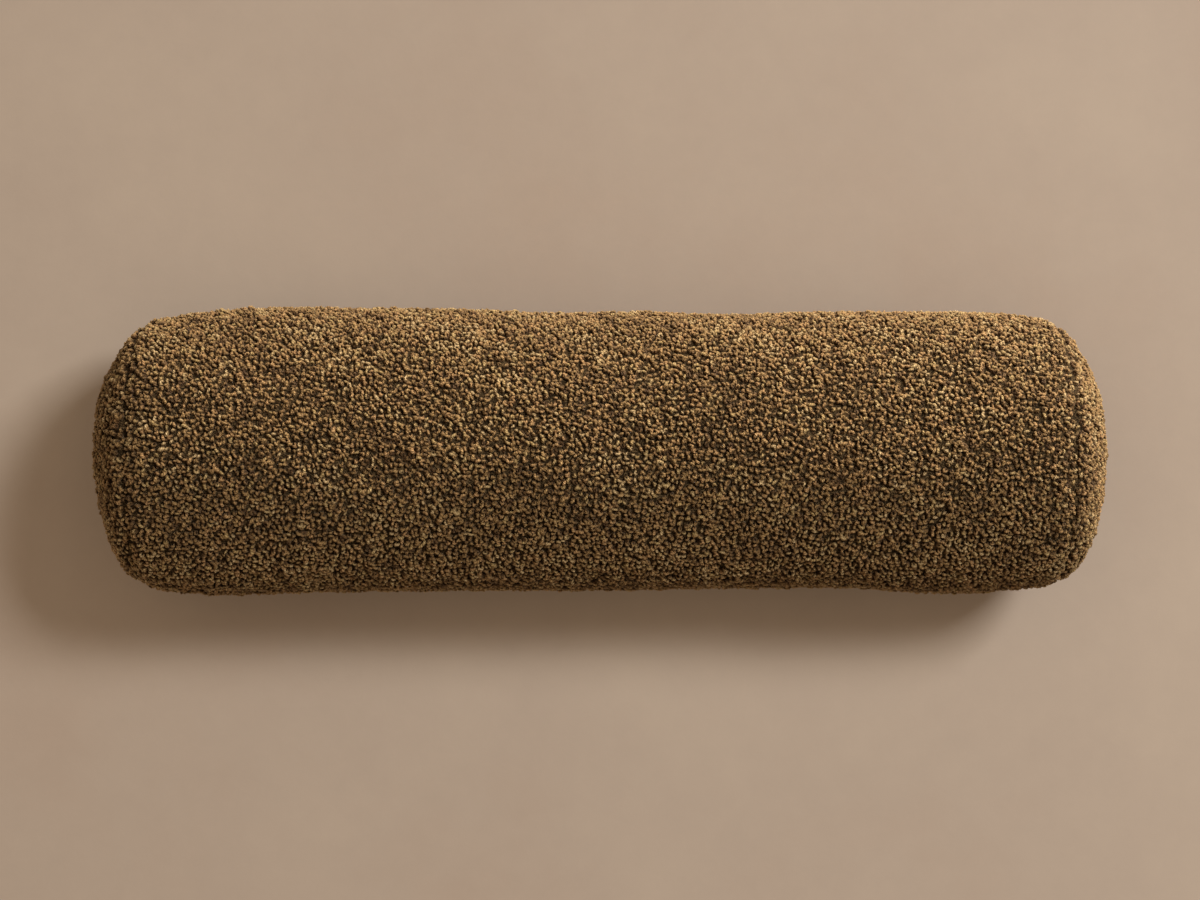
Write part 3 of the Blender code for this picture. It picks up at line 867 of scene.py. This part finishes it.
def nub_library():
    """The points of each kind of nub, and how high in the pile each point is from 0 to 1, which sets the
    yarn's painted shade and painted highlight.
    """
    rng = rng_for("nubs")
    shapes = []
    t = np.linspace(0, 1, NUB_RINGS)
    for _ in range(NUB_TONES * NUB_ROWS):
        radius = YARN_RADIUS * (0.75 + 0.3 * np.sin(math.pi * t)) * rng.uniform(0.85, 1.12)
        shapes.append(tube_rings(nub_line(rng), radius, NUB_SIDES).reshape(-1, 3))
    shapes = np.array(shapes)
    return shapes, np.clip(1 + shapes[..., 2] / NUB_HEIGHT, 0, 1)


def nub_quads():
    """Quads of one nub and each corner's place in its cell of the shared sheet."""
    quads, i, j = tube_quads(NUB_RINGS, NUB_SIDES)
    across = np.stack([j, j + 1, j + 1, j], -1) / NUB_SIDES
    along = np.stack([i, i, i + 1, i + 1], -1) / (NUB_RINGS - 1)
    ends = np.array([[3, 2, 1, 0], [0, 1, 2, 3]]) + np.array([[0], [(NUB_RINGS - 1) * NUB_SIDES]])
    spots = np.array([[0.1, 0.2, 0.2, 0.1]] * 2)
    rises = np.array([[0.0, 0.0, 0.02, 0.02], [0.98, 0.98, 1.0, 1.0]])
    return np.concatenate([quads, ends]), np.concatenate([across, spots]), np.concatenate([along, rises])


def scatter(points, quads, spacing, rng):
    """Random places on a surface, with their normals, no two closer than spacing and few gaps wider."""
    corner = np.concatenate([quads[:, [0, 1, 2]], quads[:, [0, 2, 3]]])
    a, b, c = (points[corner[:, k]] for k in range(3))
    cross = np.cross(b - a, c - a)
    area = np.linalg.norm(cross, axis=1) / 2
    normal = np.zeros_like(points)
    for k in range(3):
        np.add.at(normal, corner[:, k], cross)
    count = int(area.sum() / spacing**2 * SCATTER_TRIES)
    chosen = rng.choice(len(corner), count, p=area / area.sum())
    u, v = rng.random(count), rng.random(count)
    flip = u + v > 1
    u[flip], v[flip] = 1 - u[flip], 1 - v[flip]
    share = np.stack([1 - u - v, u, v], -1)
    place = sum(points[corner[chosen, k]] * share[:, k : k + 1] for k in range(3))
    out = sum(normal[corner[chosen, k]] * share[:, k : k + 1] for k in range(3))
    out /= np.linalg.norm(out, axis=1, keepdims=True)
    cells = {}
    kept = []
    around = [(i, j, k) for i in (-1, 0, 1) for j in (-1, 0, 1) for k in (-1, 0, 1)]
    limit = spacing**2
    keys = np.floor(place / spacing).astype(int).tolist()
    for index, ((x, y, z), (i, j, k)) in enumerate(zip(place.tolist(), keys)):
        near = (q for di, dj, dk in around for q in cells.get((i + di, j + dj, k + dk), ()))
        if all((x - q[0]) ** 2 + (y - q[1]) ** 2 + (z - q[2]) ** 2 >= limit for q in near):
            cells.setdefault((i, j, k), []).append((x, y, z))
            kept.append(index)
    return place[kept], out[kept]


SHAPES, SHADE_HEIGHTS = nub_library()
QUADS, QUAD_ACROSS, QUAD_ALONG = nub_quads()


def choose_kinds(spots, rng):
    """A kind of nub for each spot, so that the tone drifts a little over the pillow."""
    drift = np.zeros(len(spots))
    for _ in range(DRIFT_WAVES):
        wave = rng.normal(size=3) * rng.uniform(*DRIFT_PACE)
        drift += np.sin(spots @ wave + rng.uniform(0, 2 * math.pi))
    tone = np.clip(rng.random(len(spots)) + drift * DRIFT_SHARE, 0, 0.9999)
    return (tone * NUB_TONES).astype(int) + NUB_TONES * rng.integers(0, NUB_ROWS, len(spots))


def hollows(spots):
    """Clumps and hollows of the pile, a few nubs across, from -1 to 1."""
    rng = rng_for("hollows")
    total = np.zeros(len(spots))
    for _ in range(HOLLOW_WAVES):
        wave = rng.normal(size=3)
        wave *= 2 * math.pi / (rng.uniform(*HOLLOW_LENGTH) * MM * np.linalg.norm(wave))
        total += np.sin(spots @ wave + rng.uniform(0, 2 * math.pi))
    return np.clip(total / HOLLOW_EVEN, -1, 1)


def make_pile(name, spots, normals):
    """One piece with a nub at each spot."""
    rng = rng_for(name)
    count = len(spots)
    kind = choose_kinds(spots, rng_for("drift"))
    size = rng.uniform(*NUB_SCALE, count)
    drop = rng.uniform(0.0, DROP_MOST, count) * MM + HOLLOW_DEPTH * (1 + hollows(spots))
    loose = rng.random(count) < LOOSE_SHARE
    size[loose] *= LOOSE_SCALE
    drop[loose] -= LOOSE_LIFT
    first = np.cross(normals, rng.normal(size=(count, 3)))
    first /= np.linalg.norm(first, axis=1, keepdims=True)
    axes = np.stack([first, np.cross(normals, first), normals], 1)
    points = np.einsum("nvk,nkd->nvd", SHAPES[kind] * size[:, None, None], axes)
    points += (spots + normals * (GROUND_DEPTH - drop)[:, None])[:, None, :]
    points = points.reshape(-1, 3)
    low = points[:, 2] < FLOOR_SHOULDER
    room = FLOOR_SHOULDER - FLOOR_CLEARANCE
    points[low, 2] = FLOOR_CLEARANCE + room * np.exp((points[low, 2] - FLOOR_SHOULDER) / FLOOR_SHOULDER)
    per_nub = SHAPES.shape[1]
    quads = (QUADS + (np.arange(count) * per_nub)[:, None, None]).reshape(-1, 4)
    row, column = np.divmod(kind, NUB_TONES)
    u = (column[:, None, None] + CELL_SIDE + (1 - 2 * CELL_SIDE) * QUAD_ACROSS) / NUB_TONES
    v = (row[:, None, None] + CELL_END + (1 - 2 * CELL_END) * QUAD_ALONG) / NUB_ROWS
    mesh = mesh_from_arrays(name, points, quads, np.stack([u, v], -1))
    tones = (np.arange(NUB_TONES * NUB_ROWS) % NUB_TONES + 0.5) / NUB_TONES
    float_attribute(mesh, "tone", np.repeat(tones[kind], per_nub))
    # how high each point stands, which the yarn's colour turns into painted shade and painted highlight
    float_attribute(mesh, "height", SHADE_HEIGHTS[kind].ravel())
    add_piece(name, mesh, YARN)


def make_all_pile():
    stations = np.concatenate([end_stations(-1), tube_stations(), end_stations(1)])
    grid = cover_grid(stations)
    quads = grid_quads(len(stations), COLUMNS)
    spots, normals = scatter(grid.reshape(-1, 3), quads, NUB_SPACING, rng_for("spots"))
    x, y, z = to_zip(spots).T
    bare = (z > 0) & (np.abs(y) < SLIT_BARE) & (np.abs(x) < SLIT_HALF_LENGTH + SLIT_BARE_END)
    on_end = np.abs(spots[:, 0]) > GROUND_SEAM_X
    at_rim = np.hypot(spots[:, 1], spots[:, 2] - AXIS_HEIGHT) > SEAM_RADIUS - RIM_REACH
    ragged = SEAM_BARE * rng_for("seams").uniform(0.5, 1.15, len(spots))
    bare |= at_rim & (np.abs(np.abs(spots[:, 0]) - GROUND_SEAM_X) < ragged)
    spots, normals, on_end = spots[~bare], normals[~bare], on_end[~bare]
    along = (spots[:, 0] + GROUND_SEAM_X) / (2 * GROUND_SEAM_X)
    band = np.clip((along * BANDS).astype(int), 0, BANDS - 1)
    for k in range(BANDS):
        chosen = ~on_end & (band == k)
        make_pile(f"pile_tube_{k + 1:02d}", spots[chosen], normals[chosen])
    for side, ending in ENDS:
        for facing, half in ((-1, "front"), (1, "back")):
            chosen = on_end & (spots[:, 0] * side > 0) & ((spots[:, 1] > 0) == (facing > 0))
            make_pile(f"pile_end_{ending}_{half}", spots[chosen], normals[chosen])


make_all_pile()

# The zip

COIL_PITCH = 1.35 * MM
COIL_WIRE = 0.25 * MM
COIL_REACH = (-0.30 * MM, 2.85 * MM)  # y of the loops' heads and tails
COIL_HEIGHTS = (107.95 * MM, 109.25 * MM)
COIL_START = 0.6 * MM
COIL_STEPS = 8  # for each loop
WIRE_SIDES = 6
STITCH_Y = 4.1 * MM
STITCH_PITCH = 2.8 * MM
STITCH_LENGTH = 2.2 * MM
STITCH_RISE = 0.16  # mm
STITCH_SINK = 0.1  # mm
STITCH_RADIUS = 0.17 * MM
TAPE_END = 9 * MM  # left without stitches


def wire_mesh(name, lines, radius):
    """One mesh of tubes along several lines, closed at their ends."""
    points, quads = [], []
    base = 0
    for line in lines:
        quads.append(tube_quads(len(line), WIRE_SIDES)[0] + base)
        points.append(tube_rings(line, radius, WIRE_SIDES).reshape(-1, 3))
        base += len(line) * WIRE_SIDES
    mesh = mesh_from_arrays(name, np.concatenate(points), np.concatenate(quads))
    with edited(mesh) as shape:
        bmesh.ops.holes_fill(shape, edges=[e for e in shape.edges if e.is_boundary], sides=WIRE_SIDES)
    return mesh


def make_coils():
    """Two nylon coils whose loops lie between each other."""
    low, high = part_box("zip_coil_upper")
    for side, ending, shift in ((-1, "upper", 0.0), (1, "lower", 0.5)):
        count = int((high.x - low.x) / COIL_PITCH) - 1
        step = np.arange(count * COIL_STEPS + 1) / COIL_STEPS
        turn = step * 2 * math.pi
        near, far = COIL_REACH
        y = (near + far) / 2 - (far - near) / 2 * np.cos(turn)
        z = sum(COIL_HEIGHTS) / 2 + (COIL_HEIGHTS[1] - COIL_HEIGHTS[0]) / 2 * np.sin(turn)
        x = low.x + COIL_START + (step + shift) * COIL_PITCH
        line = from_zip(np.stack([x, side * y, z], -1))
        mesh = wire_mesh(f"zip_coil_{ending}_loops", [line], COIL_WIRE)
        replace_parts(add_piece(mesh.name, mesh, COIL), f"zip_coil_{ending}")


def make_stitches():
    """A row of stitches along each tape."""
    low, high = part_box("zip_tape_upper")
    for side, ending in ((-1, "upper"), (1, "lower")):
        lines = []
        for start in np.arange(low.x + TAPE_END, high.x - TAPE_END, STITCH_PITCH):
            t = np.linspace(0, 1, 6)
            x = start + t * STITCH_LENGTH
            z = TAPE_TOP + (STITCH_RISE * np.sin(math.pi * t) - STITCH_SINK) * MM
            lines.append(from_zip(np.stack([x, side * STITCH_Y + 0 * t, z], -1)))
        mesh = wire_mesh(f"zip_stitches_{ending}", lines, STITCH_RADIUS)
        add_piece(mesh.name, mesh, THREAD)


def make_metal(node, body, width):
    """A copy of a CAD piece with rounded edges."""
    mesh = frame["nodes"][node].data.copy()
    with edited(mesh) as shape:
        bmesh.ops.remove_doubles(shape, verts=shape.verts, dist=0.002 * MM)
        bmesh.ops.dissolve_limit(shape, angle_limit=math.radians(2), verts=shape.verts, edges=shape.edges)
    mesh.polygons.foreach_set("use_smooth", np.ones(len(mesh.polygons), bool))
    item = add_piece(f"{node}_cast", mesh, BRASS, body=body)
    bevel = item.modifiers.new("edges", "BEVEL")
    bevel.width = width
    bevel.segments = 2
    bevel.limit_method = "ANGLE"
    bevel.angle_limit = math.radians(25)
    bevel.harden_normals = True
    apply_modifiers(item)
    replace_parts(item, node)


make_coils()
make_stitches()
make_metal("zip_slider", "slider", 0.12 * MM)
make_metal("zip_pull", "pull", 0.16 * MM)
for stop in ("zip_stop_top_upper", "zip_stop_top_lower", "zip_stop_bottom"):
    make_metal(stop, "pillow", 0.15 * MM)
for node, material in (("zip_tape_upper", TAPE), ("zip_tape_lower", TAPE), ("care_label", LABEL)):
    frame["nodes"][node].data.materials.clear()
    frame["nodes"][node].data.materials.append(material)

# The insert

INNER_COLUMNS = 96
INNER_SHARE = 0.6  # of the cover's bulges that show on what lies inside it
INNER_GAP = 0.2 * MM
INSERT_FLAT = 105.4 * MM  # the insert is pressed flat behind the zip, this far out from the axis
INNER_SOFT = 0.4 * MM
PUCKER = 0.5 * MM  # of the casing along its end seams
PUCKER_COUNT, PUCKER_DRIFT = 24, 5  # folds round the seam, and how often they crowd
PUCKER_REACH = 0.035  # in stations
DISC_SHARES = (0.985, 0.94, 0.8, 0.6, 0.4, 0.2, 0.0)
FOAM_BULGE = 0.8 * MM
CORE_GAP = 1.0 * MM
PAD_GAP = 0.6 * MM
FILLING_ROWS = 100


def inner_surface(depth):
    return Surface(depth, GROUND_FLOOR + depth - GROUND_DEPTH)


def inner_grid(surface, stations, pucker=0.0):
    """A grid of points inside the cover, which follows the cover's dips and some of its bulges."""
    turns = even_turns(INNER_COLUMNS)
    lift = cover_lift(surface, stations, turns)
    beyond = np.abs(np.abs(stations) - 1)[:, None]
    folds = np.sin(turns * PUCKER_COUNT + 3 * np.sin(turns * PUCKER_DRIFT)) * np.exp(-beyond / PUCKER_REACH)
    grid = surface.points(stations, turns, np.minimum(lift, INNER_SHARE * lift) + pucker * folds - INNER_GAP)
    local = to_zip(grid)
    flat = INSERT_FLAT - (surface.depth - CASING_DEPTH)
    local[..., 2] = flat - INNER_SOFT * np.logaddexp(0, (flat - local[..., 2]) / INNER_SOFT)
    return from_zip(local)


def disc_rings(ring, bulge):
    """Rings that close a round end from ring to its middle, standing out along x by bulge."""
    centre = ring.mean(0)
    rings = []
    for share in DISC_SHARES:
        new = centre + (ring - centre) * share
        new[:, 0] = ring[:, 0] + bulge * (1 - share**2) ** 0.5
        rings.append(new)
    return rings


def solid_piece(name, rings, material, node, loop=False):
    """A closed padded piece from rings of points. loop joins the last ring to the first."""
    points = np.concatenate(rings)
    if loop:
        points = np.concatenate([points, rings[0]])
    rows = len(points) // INNER_COLUMNS
    mesh = mesh_from_arrays(name, points, grid_quads(rows, INNER_COLUMNS), grid_uv(rows, INNER_COLUMNS))
    tidy(mesh)
    with edited(mesh) as shape:
        bmesh.ops.recalc_face_normals(shape, faces=shape.faces)
    item = add_piece(name, mesh, material)
    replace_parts(item, node)


def make_insert():
    outer, inner = inner_surface(CASING_DEPTH), inner_surface(CASING_DEPTH + CASING_THICKNESS)
    spans = [("insert_tube", np.linspace(-0.998, 0.998, 120))]
    for side, ending in ENDS:
        spans.append((f"insert_end_{ending}", np.sort(side * np.linspace(1.004, 2, 18))))
    for node, stations in spans:
        out_grid = inner_grid(outer, stations, PUCKER)
        in_grid = inner_grid(inner, stations, PUCKER)
        rings = [*out_grid, *in_grid[::-1]]
        solid_piece(f"{node}_cotton", rings, CASING, node, loop=True)


def core_grid(surface):
    """A grid on a surface inside the insert, as long as the foam."""
    reach = CORE_HALF_LENGTH - CORE_GAP
    ends = surface.station_at(-reach), surface.station_at(reach)
    return inner_grid(surface, np.linspace(*ends, FILLING_ROWS))


def make_filling():
    wrap = inner_surface(WRAP_DEPTH)
    out_grid, in_grid = core_grid(wrap), core_grid(inner_surface(WRAP_INNER_DEPTH))
    rings = [*out_grid, *in_grid[::-1]]
    solid_piece("fibre_wrap_wadding", rings, WADDING, "fibre_wrap", loop=True)
    body = core_grid(inner_surface(CORE_DEPTH))
    rings = [*reversed(disc_rings(body[0], -FOAM_BULGE)), *body, *disc_rings(body[-1], FOAM_BULGE)]
    solid_piece("foam_core_cut", rings, FOAM, "foam_core")
    for side, ending in ENDS:
        start = wrap.station_at(PAD_START + PAD_GAP)
        grid = inner_grid(wrap, np.sort(side * np.linspace(start, 2, 20)))
        if side > 0:
            rings = [*reversed(disc_rings(grid[0], 0.0)), *grid]
        else:
            rings = [*grid, *disc_rings(grid[-1], 0.0)]
        solid_piece(f"fibre_pad_{ending}_wadding", rings, WADDING, f"fibre_pad_{ending}")


make_insert()
make_filling()

# Studio: straight above the pillow, with the key light from the upper right

CAMERA_RISE = 2.2
PHOTO_WIDTH_SHARE = 0.8425  # how much of the photograph's width the pillow takes up
SENSOR_WIDTH = 36.0
FLOOR_REACH = 6.0
# (direction from the pillow, distance, width and height, watts, colour)
KEY_LIGHT = ((0.58, 0.40, 1.0), 4.2, (1.0, 1.0), 118, (0.92, 0.94, 0.98))
KICK_LIGHT = ((0.7, 1.0, 0.30), 2.2, (1.4, 0.6), 70, (1.0, 0.93, 0.84))
RIM_LIGHT = ((-1.0, -0.45, 0.12), 2.5, (2.0, 0.3), 8, (1.0, 0.86, 0.70))
FILL_STRENGTH, FILL_SPREAD, FILL_COLOUR = 0.65, math.radians(70), (1.0, 0.81, 0.64)
WORLD_STRENGTH, WORLD_COLOUR = 0.23, (1.0, 0.80, 0.62, 1.0)


def make_camera():
    scene = bpy.context.scene
    scene.view_settings.view_transform = "Standard"
    camera = bpy.data.objects.new("camera", bpy.data.cameras.new("camera"))
    scene.collection.objects.link(camera)
    camera.location = (0.0, 0.0, AXIS_HEIGHT + CAMERA_RISE)
    camera.data.sensor_width = SENSOR_WIDTH
    camera.data.lens = SENSOR_WIDTH * CAMERA_RISE * PHOTO_WIDTH_SHARE / (2 * CAD_HIGH.x)
    scene.camera = camera


def make_floor():
    mesh = bpy.data.meshes.new("studio_floor")
    with edited(mesh) as shape:
        bmesh.ops.create_grid(shape, x_segments=1, y_segments=1, size=FLOOR_REACH)
    floor = add_piece("studio_floor", mesh, floor_material(), body=None)
    floor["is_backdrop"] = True
    return floor


def add_light(name, kind, energy, colour):
    light = bpy.data.objects.new(name, bpy.data.lights.new(name, kind))
    light.data.energy = energy
    light.data.color = colour
    bpy.context.scene.collection.objects.link(light)
    return light


def add_softbox(name, towards, distance, size, watts, colour):
    """A light of that width and height, aimed at the pillow."""
    light = add_light(name, "AREA", watts, colour)
    light.data.shape = "RECTANGLE"
    light.data.size, light.data.size_y = size
    towards = Vector(towards).normalized()
    light.location = towards * distance
    light.rotation_mode = "QUATERNION"
    light.rotation_quaternion = towards.to_track_quat("Z", "Y")
    return light


def shine_on(light, items):
    """Keeps a light to these objects, as flags and a grid do in a studio."""
    lit = bpy.data.collections.new(f"lit_by_{light.name}")
    for item in items:
        lit.objects.link(item)
    light.light_linking.receiver_collection = lit


def light_studio(floor):
    add_softbox("key_light", *KEY_LIGHT)
    for name, setting in (("kick_light", KICK_LIGHT), ("rim_light", RIM_LIGHT)):
        shine_on(add_softbox(name, *setting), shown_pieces())
    fill = add_light("floor_fill", "SUN", FILL_STRENGTH, FILL_COLOUR)
    fill.data.angle = FILL_SPREAD
    shine_on(fill, [floor])
    world = bpy.data.worlds.new("studio")
    bpy.context.scene.world = world
    world.use_nodes = True
    background = world.node_tree.nodes["Background"]
    background.inputs["Color"].default_value = WORLD_COLOUR
    background.inputs["Strength"].default_value = WORLD_STRENGTH


make_camera()
light_studio(make_floor())
